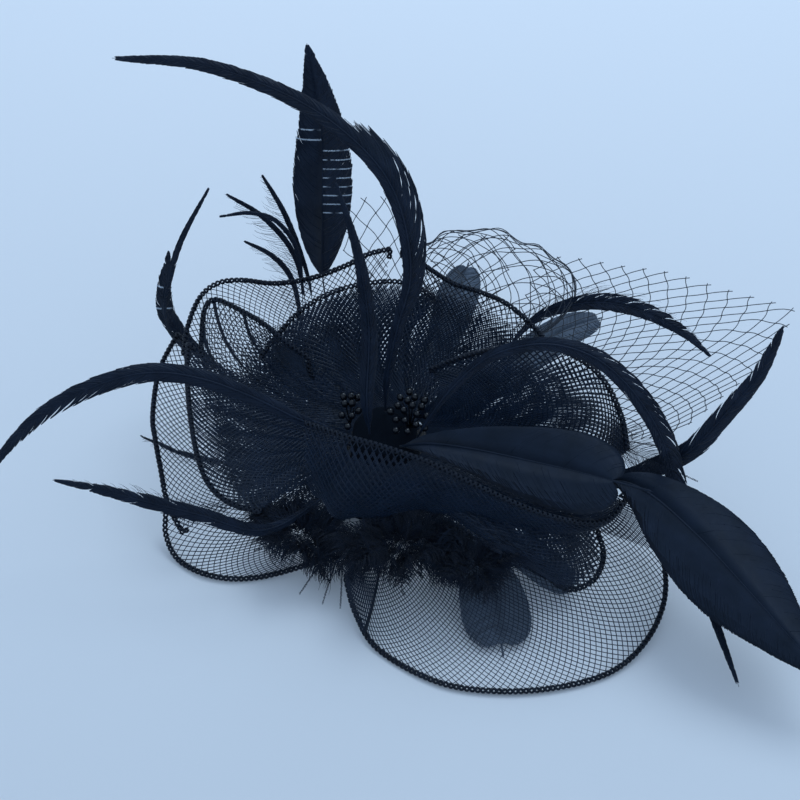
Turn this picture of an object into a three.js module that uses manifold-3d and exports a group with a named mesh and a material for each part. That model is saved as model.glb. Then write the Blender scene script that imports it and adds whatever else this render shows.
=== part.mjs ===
// A fascinator headpiece: a crin flower with feathers, net, beaded stamens and down on a small round
// base that is worn with a sprung clip or a brooch pin.
//
// Millimetres, +Z up. The origin is the middle of the felt's underside, the face that lies on the
// head. Heights in the lists below are counted from the table that the piece can be laid on, which
// is LIFT below the origin.
import * as THREE from "three";
import { mergeVertices } from "three/addons/utils/BufferGeometryUtils.js";
import Module from "manifold-3d";

const wasm = await Module();
wasm.setup();
const { Manifold, Mesh } = wasm;

const LIFT = 12;
const CORE_RADIUS = 14.6;
const ROOT_RADIUS = 15.6;
const SHEET = 0.9;
const RIM = 2.2;

const part = new THREE.Group();
part.name = "fascinator_headpiece";

// ---------------------------------------------------------------------------- helpers

function add(name, geometry) {
  const mesh = new THREE.Mesh(geometry, new THREE.MeshStandardMaterial());
  mesh.name = name;
  part.add(mesh);
}

function point([x, y, z]) {
  return new THREE.Vector3(x, y, z - LIFT);
}

function spline(points) {
  return new THREE.CatmullRomCurve3(points.map(point), false, "catmullrom", 0.5);
}

// Points round the core at one height, where a petal or a net is stitched on.
function rootArc(fromDegrees, toDegrees, height) {
  const points = [];
  for (let i = 0; i <= 4; i++) {
    const angle = THREE.MathUtils.degToRad(fromDegrees + ((toDegrees - fromDegrees) * i) / 4);
    points.push([ROOT_RADIUS * Math.cos(angle), ROOT_RADIUS * Math.sin(angle), height]);
  }
  return points;
}

function toSolid(geometry) {
  const flat = geometry.index ? geometry.toNonIndexed() : geometry;
  const bare = new THREE.BufferGeometry().setAttribute("position", flat.attributes.position);
  const merged = mergeVertices(bare, 1e-3);
  return new Manifold(
    new Mesh({
      numProp: 3,
      vertProperties: merged.attributes.position.array,
      triVerts: new Uint32Array(merged.index.array),
    }),
  );
}

function toGeometry(solid) {
  const mesh = solid.getMesh();
  const geometry = new THREE.BufferGeometry();
  geometry.setAttribute("position", new THREE.BufferAttribute(new Float32Array(mesh.vertProperties), 3));
  geometry.setIndex(new THREE.BufferAttribute(new Uint32Array(mesh.triVerts), 1));
  return geometry;
}

function boxAt(sizeX, sizeY, sizeZ, x, y, z) {
  return new THREE.BoxGeometry(sizeX, sizeY, sizeZ).translate(x, y, z);
}

// A rod between two points.
function rod(from, to, radius, sides) {
  const a = new THREE.Vector3(...from);
  const b = new THREE.Vector3(...to);
  const geometry = new THREE.CylinderGeometry(radius, radius, a.distanceTo(b), sides);
  const turn = new THREE.Quaternion().setFromUnitVectors(
    new THREE.Vector3(0, 1, 0),
    b.clone().sub(a).normalize(),
  );
  geometry.applyQuaternion(turn);
  const middle = a.add(b).multiplyScalar(0.5);
  return geometry.translate(middle.x, middle.y, middle.z);
}

// A flat outline in X and Z, extruded along Y about the plane y = middle.
function profileAlongY(outline, width, middle, holes = []) {
  const shape = new THREE.Shape(outline.map(([x, z]) => new THREE.Vector2(x, z)));
  for (const [x, z, radius] of holes) {
    shape.holes.push(new THREE.Path().absarc(x, z, radius, 0, 2 * Math.PI, true));
  }
  const geometry = new THREE.ExtrudeGeometry(shape, {
    depth: width,
    bevelEnabled: false,
    curveSegments: 10,
  });
  geometry.rotateX(Math.PI / 2);
  return geometry.translate(0, middle + width / 2, 0);
}

// ---------------------------------------------------------------------------- base

function turned(profile, segments) {
  const outline = profile.map(([radius, z]) => new THREE.Vector2(radius, z));
  return new THREE.LatheGeometry(outline, segments).rotateX(Math.PI / 2);
}

// A flat disc through rings of [radius, z]. Its two faces are fans from a point on the rim, so the
// facet at its middle runs the whole way across it along x.
function disc(rings, segments) {
  const positions = [];
  for (const [radius, z] of rings) {
    for (let i = 0; i < segments; i++) {
      const angle = (2 * Math.PI * i) / segments;
      positions.push(radius * Math.cos(angle), radius * Math.sin(angle), z);
    }
  }
  const index = [];
  for (let ring = 0; ring + 1 < rings.length; ring++) {
    for (let i = 0; i < segments; i++) {
      const a = ring * segments + i;
      const b = ring * segments + ((i + 1) % segments);
      index.push(a, b, a + segments, b, b + segments, a + segments);
    }
  }
  const top = (rings.length - 1) * segments;
  for (let i = 1; i + 1 < segments; i++) {
    index.push(0, i + 1, i, top, top + i, top + i + 1);
  }
  const geometry = new THREE.BufferGeometry();
  geometry.setAttribute("position", new THREE.Float32BufferAttribute(positions, 3));
  geometry.setIndex(index);
  return geometry;
}

function addBase() {
  add("felt_backing", disc([[27.6, 0], [28, 0.4], [28, 0.8], [27.6, 1.2]], 40));
  add("base_disc", turned([[0, 1.5], [26.4, 1.5], [27, 2.1], [27, 3.1], [26, 3.9], [0, 3.9]], 40));
  const core = [[0, 4.2], [CORE_RADIUS, 4.2]];
  const rings = 4;
  for (let i = 0; i < rings; i++) {
    const low = 4.2 + (21.8 * i) / rings;
    const radius = CORE_RADIUS - 0.5 * i;
    core.push([radius, low + 1.2], [radius - 0.3, low + 4.2], [radius - 1.4, low + 5.0]);
  }
  core.push([0, 26]);
  add("flower_core", turned(core, 24));
}

// ---------------------------------------------------------------------------- clip

const CLIP_Y = -9;
const CLIP_PIVOT = [-10, -5];

function addClip() {
  const [pivotX, pivotZ] = CLIP_PIVOT;
  const leaf = toSolid(boxAt(46, 9, 1, -1, CLIP_Y, -0.8));
  const earOutline = [[-13.2, -1.0], [-12.6, -5.6], [-11.2, -7.2], [-8.8, -7.2], [-7.4, -5.6], [-6.8, -1.0]];
  const ears = [-1, 1].map((side) =>
    toSolid(profileAlongY(earOutline, 0.8, CLIP_Y + side * 4.1, [[pivotX, pivotZ, 1.2]])),
  );
  add("clip_upper_leaf", toGeometry(leaf.add(ears[0]).add(ears[1])));

  const jawOutline = [
    [22, -2.8], [22.2, -1.7], [20.6, -2.4], [19, -1.8], [17.4, -2.6], [15.8, -2.2], [14.2, -3.1],
    [4, -4.4], [-6.6, -6.4], [-7.4, -4.2], [-9, -2.7], [-11, -2.7], [-12.6, -4.2], [-13.4, -7.5],
    [-19, -9.4], [-24, -11], [-24, -12], [-18, -10.4], [-12, -8.5], [-6, -7.4], [4, -5.4], [14.2, -3.9],
  ];
  const jaw = toSolid(profileAlongY(jawOutline, 6.6, CLIP_Y, [[pivotX, pivotZ, 1.2]]));
  const coilSlot = toSolid(boxAt(6.8, 5, 10, pivotX, CLIP_Y, pivotZ));
  add("clip_lower_jaw", toGeometry(jaw.subtract(coilSlot)));

  add("clip_hinge_pin", rod([pivotX, CLIP_Y - 5.2, pivotZ], [pivotX, CLIP_Y + 5.2, pivotZ], 0.9, 16));
  addClipSpring();
}

// A torsion spring round the hinge pin: one leg bears on the upper leaf, the other on the jaw's tail.
function addClipSpring() {
  const [pivotX, pivotZ] = CLIP_PIVOT;
  const coilRadius = 1.7;
  const turns = 3.25;
  const points = [new THREE.Vector3(-3.5, CLIP_Y - 1.8, -2.1)];
  const steps = 8 * turns;
  for (let i = 0; i <= steps; i++) {
    const angle = Math.PI / 2 + (2 * Math.PI * turns * i) / steps;
    points.push(
      new THREE.Vector3(
        pivotX + coilRadius * Math.cos(angle),
        CLIP_Y - 1.8 + (3.6 * i) / steps,
        pivotZ + coilRadius * Math.sin(angle),
      ),
    );
  }
  points.push(new THREE.Vector3(-13.4, CLIP_Y + 1.8, -6.9));
  points.push(new THREE.Vector3(-17.5, CLIP_Y + 1.8, -8.3));
  const path = new THREE.CatmullRomCurve3(points, false, "catmullrom", 0.5);
  const wire = new THREE.Shape().absarc(0, 0, 0.3, 0, 2 * Math.PI);
  add(
    "clip_spring",
    new THREE.ExtrudeGeometry(wire, {
      steps: 44,
      curveSegments: 2,
      bevelEnabled: false,
      extrudePath: path,
    }),
  );
}

// ---------------------------------------------------------------------------- brooch pin

const BROOCH_Y = 11;
const NEEDLE_Z = -3;

function addBrooch() {
  const bar = toSolid(boxAt(36, 5, 0.8, 0, BROOCH_Y, -0.7));
  const earOutline = [[-16.8, -0.8], [-16.2, -3.8], [-15, -4.6], [-13.8, -3.8], [-13.2, -0.8]];
  const ears = [-1, 1].map((side) =>
    toSolid(profileAlongY(earOutline, 0.8, BROOCH_Y + side * 1.7, [[-15, NEEDLE_Z, 0.8]])),
  );
  const catchPlates = [12.6, 16.6].map((x) =>
    toSolid(boxAt(0.8, 4.4, 4.4, x, BROOCH_Y, -3)).subtract(
      toSolid(boxAt(2, 1.9, 3.4, x, BROOCH_Y, -3.9)),
    ),
  );
  const stitchHoles = [-8, 8].map((x) => toSolid(rod([x, BROOCH_Y, -2], [x, BROOCH_Y, 1], 0.9, 12)));
  let solid = bar;
  for (const piece of [...ears, ...catchPlates]) {
    solid = solid.add(piece);
  }
  for (const hole of stitchHoles) {
    solid = solid.subtract(hole);
  }
  add("brooch_bar", toGeometry(solid));
  add("brooch_pivot", rod([-15, BROOCH_Y - 2.6, NEEDLE_Z], [-15, BROOCH_Y + 2.6, NEEDLE_Z], 0.5, 12));

  const eye = toSolid(rod([-15, BROOCH_Y - 0.9, NEEDLE_Z], [-15, BROOCH_Y + 0.9, NEEDLE_Z], 1.3, 16));
  const eyeHole = toSolid(rod([-15, BROOCH_Y - 2, NEEDLE_Z], [-15, BROOCH_Y + 2, NEEDLE_Z], 0.8, 12));
  const shaft = toSolid(rod([-14, BROOCH_Y, NEEDLE_Z], [15.5, BROOCH_Y, NEEDLE_Z], 0.5, 10));
  const tip = new THREE.CylinderGeometry(0.05, 0.5, 3.5, 10).rotateZ(-Math.PI / 2);
  const point = toSolid(tip.translate(17.2, BROOCH_Y, NEEDLE_Z));
  add("brooch_needle", toGeometry(eye.add(shaft).add(point).subtract(eyeHole)));

  const sleeve = toSolid(rod([13.4, BROOCH_Y, NEEDLE_Z], [15.8, BROOCH_Y, NEEDLE_Z], 1.8, 20));
  const bore = toSolid(rod([13, BROOCH_Y, NEEDLE_Z], [16.2, BROOCH_Y, NEEDLE_Z], 0.95, 16));
  const mouth = toSolid(boxAt(4, 1.8, 4, 14.6, BROOCH_Y, NEEDLE_Z - 2));
  const lever = toSolid(boxAt(1.6, 2.6, 0.8, 14.6, BROOCH_Y + 2.6, NEEDLE_Z));
  add("brooch_lock", toGeometry(sleeve.add(lever).subtract(bore).subtract(mouth)));
}

// ---------------------------------------------------------------------------- petals and veil

// A sheet through three curves: its stitched root, its belly and its hem. The rim is thicker, as
// the braid on the edge of crin is.
function sheet(curves, across, out, rim) {
  const [root, belly, hem] = curves.map(spline);
  const at = (u, v) => {
    const place = new THREE.Vector3();
    place.addScaledVector(root.getPointAt(v), (1 - u) * (1 - 2 * u));
    place.addScaledVector(belly.getPointAt(v), 4 * u * (1 - u));
    place.addScaledVector(hem.getPointAt(v), u * (2 * u - 1));
    return place;
  };
  const clampTo = (value) => Math.min(Math.max(value, 0), 1);
  const geometry = new THREE.BoxGeometry(1, 1, 1, out, across, 1);
  const position = geometry.attributes.position;
  const step = 0.002;
  for (let i = 0; i < position.count; i++) {
    let u = position.getX(i) + 0.5;
    if (u > 1 - 1.5 / out && u < 1) {
      u = 0.96;
    }
    const v = position.getY(i) + 0.5;
    const along = at(clampTo(u + step), v).sub(at(clampTo(u - step), v));
    const aside = at(u, clampTo(v + step)).sub(at(u, clampTo(v - step)));
    const normal = along.cross(aside).normalize();
    const thickness = u > 0.95 ? rim : SHEET;
    const place = at(u, v).addScaledVector(normal, position.getZ(i) * thickness);
    position.setXYZ(i, place.x, place.y, place.z);
  }
  return geometry;
}

// Each petal: the arc of the core it is stitched to, its belly and its hem.
const PETALS = {
  petal_front_right: [
    rootArc(-105, -10, 20),
    [[-10, -40, 17], [8, -56, 17], [32, -60, 17], [55, -48, 17], [64, -30, 17], [60, -14, 18]],
    [
      [-15, -54, 12], [-11, -66, 5], [-2, -80, 1.5], [20, -94, 1.5], [43, -98, 1.5], [66, -96, 1.5],
      [86, -89, 1.5], [100, -76, 3], [108, -60, 6], [109, -44, 10], [105, -30, 15], [96, -20, 20],
    ],
  ],
  petal_front_left: [
    rootArc(-168, -118, 20),
    [[-50, -12, 12], [-46, -24, 11], [-38, -30, 11], [-26, -32, 12], [-17, -30, 14]],
    [
      [-88, -20, 12], [-88, -28, 5], [-83, -37, 1.5], [-73, -44, 1.5], [-61, -47, 1.5],
      [-48, -46, 1.5], [-33, -43, 4], [-21, -42, 10],
    ],
  ],
  petal_left_outer: [
    rootArc(140, 192, 22.5),
    [[-52, 32, 22], [-58, 16, 20], [-58, 2, 18], [-56, -8, 17], [-50, -16, 16]],
    [
      [-87, 47, 44], [-93, 30, 40], [-94, 10, 35], [-92, -1, 32], [-89, -13, 27], [-86, -24, 20],
      [-80, -33, 13],
    ],
  ],
  petal_left_inner: [
    rootArc(161, 204, 28),
    [[-44, 14, 36], [-46, 4, 34], [-44, -8, 32], [-40, -18, 30], [-34, -23, 30]],
    [
      [-79, 27, 58], [-78, 12, 56], [-75, -8, 52], [-71, -24, 46], [-66, -33, 41], [-58, -38, 37],
      [-48, -40, 35],
    ],
  ],
  petal_back_left: [
    rootArc(157, 93, 26),
    [[-46, 24, 32], [-45, 36, 34], [-35, 44, 36], [-20, 46, 36], [-2, 46, 36]],
    [
      [-82, 30, 50], [-81, 41, 54], [-77, 54, 58], [-70, 61, 60], [-60, 63, 60], [-46, 61, 60],
      [-31, 62, 62], [-17, 65, 66], [-7, 68, 70], [2, 69, 72],
    ],
  ],
  petal_upper_left: [
    rootArc(150, 114, 33),
    [[-40, 20, 43], [-38, 25, 45], [-30, 26, 46], [-20, 22, 44]],
    [[-70, 32, 60], [-70, 44, 64], [-62, 44, 64], [-50, 40, 64], [-38, 30, 62], [-25, 22, 58]],
  ],
  petal_back_inner: [
    rootArc(106, 66, 33),
    [[-17, 32, 46], [-4, 34, 48], [9, 33, 48]],
    [[-34, 46, 62], [-20, 51, 66], [-4, 53, 68], [10, 52, 68], [21, 46, 65]],
  ],
  petal_back_right: [
    rootArc(87, 50, 26),
    [[6, 44, 40], [18, 42, 40], [30, 36, 38], [40, 28, 36]],
    [
      [7, 68, 73], [14, 61, 72], [20, 57, 70], [28, 52, 68], [39, 49, 66], [49, 47, 62],
      [57, 42, 58], [64, 36, 54],
    ],
  ],
  petal_right: [
    rootArc(40, -14, 33),
    [[21, 8, 48], [34, 2, 50], [52, -5, 51], [66, -12, 48], [72, -22, 42]],
    [
      [18, 9, 62], [30, 6, 72], [45, 3, 80], [61, 2, 82], [75, 0, 76], [84, -6, 70], [90, -15, 61],
      [92, -24, 54],
    ],
  ],
  petal_front_roll: [
    rootArc(-142, -30, 33),
    [
      [-27, -28, 30], [-16, -37, 27], [4, -36, 29], [24, -36, 30], [44, -40, 30], [62, -42, 30],
      [74, -34, 33],
    ],
    [
      [-30, -17, 60], [-16, -25, 62], [0, -31, 62], [17, -37, 60], [35, -45, 56], [54, -51, 50],
      [71, -52, 44], [84, -48, 40], [92, -38, 41],
    ],
  ],
  petal_low_loop: [
    rootArc(-62, -34, 26.5),
    [[34, -46, 26], [46, -44, 26], [54, -36, 25]],
    [[60, -54, 22], [64, -60, 18], [71, -62, 15], [80, -58, 16], [84, -50, 20], [82, -40, 25]],
  ],
};

// The net veil: the same three curves, with the free edge in place of the hem.
const VEILS = {
  veil_right: [
    rootArc(36, 2, 23.5),
    [[46, 44, 34], [58, 40, 34], [70, 34, 34], [78, 24, 32], [80, 12, 29], [76, 2, 26]],
    [
      [64, 76, 62], [82, 79, 58], [100, 79, 54], [122, 79, 50], [143, 74, 46], [163, 70, 42],
      [175, 67, 40], [170, 56, 38], [157, 39, 34], [138, 23, 30], [124, 11, 28], [112, 4, 28],
    ],
  ],
  veil_back: [
    rootArc(104, 62, 22.5),
    [[-13, 68, 32], [0, 70, 34], [14, 68, 34], [28, 62, 36], [40, 56, 36]],
    [
      [-22, 112, 56], [-14, 116, 60], [0, 112, 64], [10, 98, 62], [18, 88, 60], [30, 85, 66],
      [44, 85, 66], [56, 82, 68],
    ],
  ],
};

function addSheets() {
  for (const [name, curves] of Object.entries(PETALS)) {
    add(name, sheet(curves, 11, 5, RIM));
  }
  for (const [name, curves] of Object.entries(VEILS)) {
    add(name, sheet(curves, 13, 5, SHEET));
  }
}

// ---------------------------------------------------------------------------- feathers

// A flat feather along a path. Its width grows from the bare quill to the widest place and falls to
// the tip. `face` is the way its flat side looks.
function feather({ path, half, bare, widest, fullness, face, stations }) {
  const line = spline(path);
  const power = Math.log(0.5) / Math.log(widest);
  const quill = 0.6;
  const halfWidthAt = (t) => {
    const s = Math.min(Math.max((t - bare) / (1 - bare), 0), 1);
    const swell = Math.sin(Math.PI * Math.pow(s, power));
    return quill + (half - quill) * Math.pow(Math.max(swell, 0), fullness);
  };
  const facing = new THREE.Vector3(...face);
  const geometry = new THREE.BoxGeometry(1, 1, 1, stations, 2, 1);
  const position = geometry.attributes.position;
  for (let i = 0; i < position.count; i++) {
    const t = position.getX(i) + 0.5;
    const across = 2 * position.getY(i);
    const tangent = line.getTangentAt(t);
    const side = facing.clone().cross(tangent).normalize();
    const normal = tangent.clone().cross(side);
    const thickness = Math.abs(across) < 0.5 ? 1.3 - 0.7 * t : 0.5;
    const place = line.getPointAt(t);
    place.addScaledVector(side, across * halfWidthAt(t));
    place.addScaledVector(normal, position.getZ(i) * thickness);
    position.setXYZ(i, place.x, place.y, place.z);
  }
  return geometry;
}

const TO_FRONT = [0, -0.73, 0.68];
const UP = [0, 0, 1];

const ARC = { bare: 0.02, widest: 0.45, fullness: 0.5, face: TO_FRONT, stations: 14 };
const HACKLE = { bare: 0.15, widest: 0.5, fullness: 0.7, face: TO_FRONT, stations: 10 };
const ROUND_TIP = { half: 13, bare: 0.2, widest: 0.75, fullness: 0.45, face: UP, stations: 11 };

const FEATHERS = {
  feather_tall_arc: {
    ...ARC,
    half: 3.4,
    stations: 20,
    path: [
      [0, 8, 39], [1, 8, 58], [5, 8, 85], [10, 9, 113], [5, 15, 142], [-8, 27, 156], [-31, 42, 165],
      [-65, 60, 167], [-101, 75, 160],
    ],
  },
  feather_spike: {
    ...ARC,
    half: 3.4,
    widest: 0.3,
    path: [[-6, -4, 39], [-7, 2, 54], [-6, 18, 75], [-9, 27, 100], [-14, 35, 118], [-18, 42, 128]],
  },
  feather_barred: {
    ...HACKLE,
    half: 10,
    bare: 0.4,
    widest: 0.42,
    face: [0, -1, 0.1],
    stations: 16,
    path: [
      [-4, 15.6, 19], [-13, 40, 22], [-21, 62, 28], [-27, 77, 45], [-26, 80, 85], [-25, 82, 115],
      [-27, 84, 135], [-28, 91, 155],
    ],
  },
  feather_wisp_high: {
    ...HACKLE,
    half: 3,
    path: [[-6.6, 14.4, 19], [-20, 42, 22], [-31, 67, 30], [-37, 82, 52], [-41, 86, 76], [-51, 90, 94]],
  },
  feather_wisp_long: {
    ...HACKLE,
    half: 3,
    path: [[-8.6, 13.2, 19], [-25, 42, 22], [-38, 66, 32], [-44, 80, 52], [-52, 84, 68], [-66, 86, 86]],
  },
  feather_wisp_middle: {
    ...HACKLE,
    half: 3,
    path: [[-10.4, 11.8, 19], [-30, 40, 22], [-43, 64, 32], [-48, 75, 50], [-56, 79, 66], [-69, 80, 78]],
  },
  feather_wisp_low: {
    ...HACKLE,
    half: 2.6,
    path: [[-12, 10.2, 19], [-34, 36, 22], [-48, 60, 32], [-52, 72, 46], [-56, 78, 54], [-62, 82, 64]],
  },
  feather_left_arc: {
    ...ARC,
    half: 4,
    path: [
      [-9, -8, 39], [-18, -11, 47], [-32, -12, 56], [-50, -11, 68], [-69, -9, 76], [-87, -10, 80],
      [-105, -14, 78], [-124, -20, 71], [-138, -28, 62], [-150, -40, 51],
    ],
  },
  feather_left_low: {
    ...HACKLE,
    half: 4,
    path: [
      [-13.2, -9.4, 24.3], [-28, -27, 23], [-47, -42, 26], [-70, -43, 37], [-88, -42, 43],
      [-106, -40, 48], [-124, -37, 50],
    ],
  },
  feather_left_biot: {
    ...HACKLE,
    half: 2.4,
    path: [
      [-14.2, 7.4, 19], [-50, 30, 18], [-78, 49, 23], [-90, 53, 36], [-92, 52, 52], [-89, 53, 66],
      [-82, 57, 86], [-69, 64, 108],
    ],
  },
  feather_left_ragged: {
    ...HACKLE,
    half: 4,
    bare: 0.5,
    path: [[-13.2, 9, 18.4], [-46, 34, 17], [-76, 54, 21], [-90, 59, 36], [-93, 59, 52], [-88, 61, 78]],
  },
  feather_left_tip: {
    ...HACKLE,
    half: 4,
    face: UP,
    path: [[-15.8, -1, 18.4], [-30, -1, 17.6], [-58, 1, 14], [-80, 2, 19], [-99, 3, 30]],
  },
  feather_right_hackle: {
    ...HACKLE,
    half: 4.5,
    bare: 0.4,
    path: [
      [11.8, 10.2, 24.4], [36, 30, 30], [52, 43, 42], [62, 49, 51], [74, 49, 58], [88, 44, 65],
      [104, 35, 68], [119, 26, 65], [129, 18, 60],
    ],
  },
  feather_right_arc: {
    ...ARC,
    half: 3.4,
    stations: 18,
    path: [
      [12, -8, 39], [17, -9, 53], [25, -7, 67], [39, -5, 83], [58, -5, 90], [76, -9, 88],
      [90, -17, 80], [103, -24, 62], [112, -31, 38], [121, -68, 20], [129, -102, 11],
    ],
  },
  feather_right_split: {
    ...ARC,
    half: 4,
    bare: 0.3,
    path: [
      [15.8, -3, 22.6], [40, -8, 23], [66, -16, 26], [92, -23, 34], [105, -22, 40], [117, -22, 50],
      [128, -17, 64], [140, -9, 78], [148, 1, 94],
    ],
  },
  feather_goose: {
    ...ARC,
    half: 18,
    bare: 0.4,
    widest: 0.42,
    fullness: 0.6,
    face: [0.2, -0.5, 0.84],
    path: [
      [15.2, -6, 22.6], [40, -17, 24], [64, -28, 28], [86, -33, 42], [98, -39, 47], [115, -57, 43],
      [131, -77, 35], [146, -94, 28], [158, -109, 22],
    ],
  },
  feather_satin: {
    ...ARC,
    half: 13,
    widest: 0.55,
    fullness: 0.8,
    face: [0, -0.5, 0.87],
    path: [[6, -11, 39.5], [20, -17, 47], [38, -22, 51], [56, -25, 53], [72, -28, 55], [86, -31, 57]],
  },
  feather_round_front: {
    ...ROUND_TIP,
    path: [[7, -14.4, 18.4], [20, -30, 18], [34, -46, 12], [40, -62, 7], [44, -82, 2.4]],
  },
  feather_round_side: {
    ...ROUND_TIP,
    half: 8,
    path: [[12, -10.4, 18.4], [28, -24, 17.8], [50, -38, 12.5], [64, -48, 9], [74, -57, 6]],
  },
  feather_round_back: {
    ...ROUND_TIP,
    half: 9,
    path: [[5, 15, 18.4], [16, 42, 20], [24, 62, 24], [32, 88, 30], [37, 104, 34]],
  },
  feather_round_right: {
    ...ROUND_TIP,
    half: 9,
    path: [[13.4, 8.6, 18.4], [34, 26, 20], [56, 48, 25], [76, 62, 31], [94, 68, 34]],
  },
};

function addFeathers() {
  for (const [name, shape] of Object.entries(FEATHERS)) {
    add(name, feather(shape));
  }
}

// ---------------------------------------------------------------------------- stamens and down

// Glossy beads on thin stalks that spread from one bound foot.
function stamens(foot, spread, count, turn) {
  const [footX, footY] = foot;
  let solid = toSolid(rod([footX, footY, 26.3], [footX, footY, 28.3], 2.2, 12));
  for (let i = 0; i < count; i++) {
    const angle = turn + i * 2.4;
    const reach = Math.sqrt((i + 0.5) / count);
    const x = footX + spread[0] * reach * Math.cos(angle);
    const y = footY + spread[1] * reach * Math.sin(angle);
    const z = 38 - 3.5 * reach;
    const stalkFoot = [footX + 0.1 * (x - footX), footY + 0.1 * (y - footY), 28];
    const bead = new THREE.IcosahedronGeometry(1.5, 0).translate(x, y, z);
    solid = solid.add(toSolid(rod(stalkFoot, [x, y, z], 0.35, 3))).add(toSolid(bead));
  }
  return toGeometry(solid);
}

function addStamens() {
  add("stamens_left", stamens([-14, 2], [5, 8], 9, 0.4));
  add("stamens_right", stamens([10, 0], [9, 10], 18, 0.9));
}

// A tuft of marabou down, as one lumpy closed body.
function tuft(middle, radii, turnDegrees) {
  const geometry = new THREE.IcosahedronGeometry(1, 3);
  const position = geometry.attributes.position;
  for (let i = 0; i < position.count; i++) {
    const p = new THREE.Vector3().fromBufferAttribute(position, i);
    const lumps = 1 + 0.14 * Math.sin(7 * p.x + 3 * p.z) * Math.cos(6 * p.y);
    position.setXYZ(i, p.x * radii[0] * lumps, p.y * radii[1] * lumps, p.z * radii[2] * lumps);
  }
  geometry.rotateZ(THREE.MathUtils.degToRad(turnDegrees));
  return geometry.translate(middle[0], middle[1], middle[2] - LIFT);
}

function addTufts() {
  add("marabou_left", tuft([-33, -37, 16.5], [17, 7, 4], -25));
  add("marabou_front", tuft([0, -45, 23.4], [17, 9, 3], 0));
  add("marabou_right", tuft([34, -58, 21.2], [14, 7, 2.6], 12));
}

addBase();
addClip();
addBrooch();
addSheets();
addFeathers();
addStamens();
addTufts();

export default part;
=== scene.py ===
# Looks for the fascinator headpiece: crin mesh petals, feathers, net, down, stamens and metal.
import math

import bpy
import numpy as np
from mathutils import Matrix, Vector


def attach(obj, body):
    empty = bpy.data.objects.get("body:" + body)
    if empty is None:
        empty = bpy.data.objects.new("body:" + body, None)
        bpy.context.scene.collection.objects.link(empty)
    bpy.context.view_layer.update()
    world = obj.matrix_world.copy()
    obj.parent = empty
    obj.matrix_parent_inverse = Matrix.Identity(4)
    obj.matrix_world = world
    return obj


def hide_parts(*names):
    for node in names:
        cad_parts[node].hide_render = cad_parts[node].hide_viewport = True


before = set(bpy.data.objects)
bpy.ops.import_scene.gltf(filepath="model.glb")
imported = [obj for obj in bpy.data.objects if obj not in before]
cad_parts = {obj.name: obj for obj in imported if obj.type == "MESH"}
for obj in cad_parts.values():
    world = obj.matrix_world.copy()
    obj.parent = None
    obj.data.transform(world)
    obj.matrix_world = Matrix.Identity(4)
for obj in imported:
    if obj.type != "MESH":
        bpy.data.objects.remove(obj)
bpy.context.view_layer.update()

MM = 0.001
LIFT = 12.0  # the felt's underside, the origin, is this far above the table, in mm
ROOT_RADIUS = 15.6  # where petals and net are sewn to the core, in mm
RNG = np.random.default_rng(11)


# ------------------------------ curves and meshes
# Everything below is worked out in millimetres, with heights counted from the table.


def unit(vectors):
    length = np.linalg.norm(vectors, axis=-1, keepdims=True)
    return vectors / np.maximum(length, 1e-9)


class Spline:
    """A Catmull-Rom curve through points, read by share of its length."""

    def __init__(self, points, per_segment=24):
        p = np.asarray(points, float)
        p = np.vstack([2 * p[0] - p[1], p, 2 * p[-1] - p[-2]])
        t = np.linspace(0, 1, per_segment, endpoint=False)[:, None]
        parts = []
        for a, b, c, d in zip(p, p[1:], p[2:], p[3:]):
            square = (2 * a - 5 * b + 4 * c - d) * t**2
            cube = (3 * b - a - 3 * c + d) * t**3
            parts.append(0.5 * (2 * b + (c - a) * t + square + cube))
        self.points = np.vstack(parts + [p[-2:-1]])
        gaps = np.linalg.norm(np.diff(self.points, axis=0), axis=1)
        self.along = np.concatenate([[0], np.cumsum(gaps)])
        self.length = self.along[-1]

    def at(self, share):
        distance = np.asarray(share) * self.length
        columns = [np.interp(distance, self.along, self.points[:, k]) for k in range(3)]
        return np.stack(columns, -1)


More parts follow.
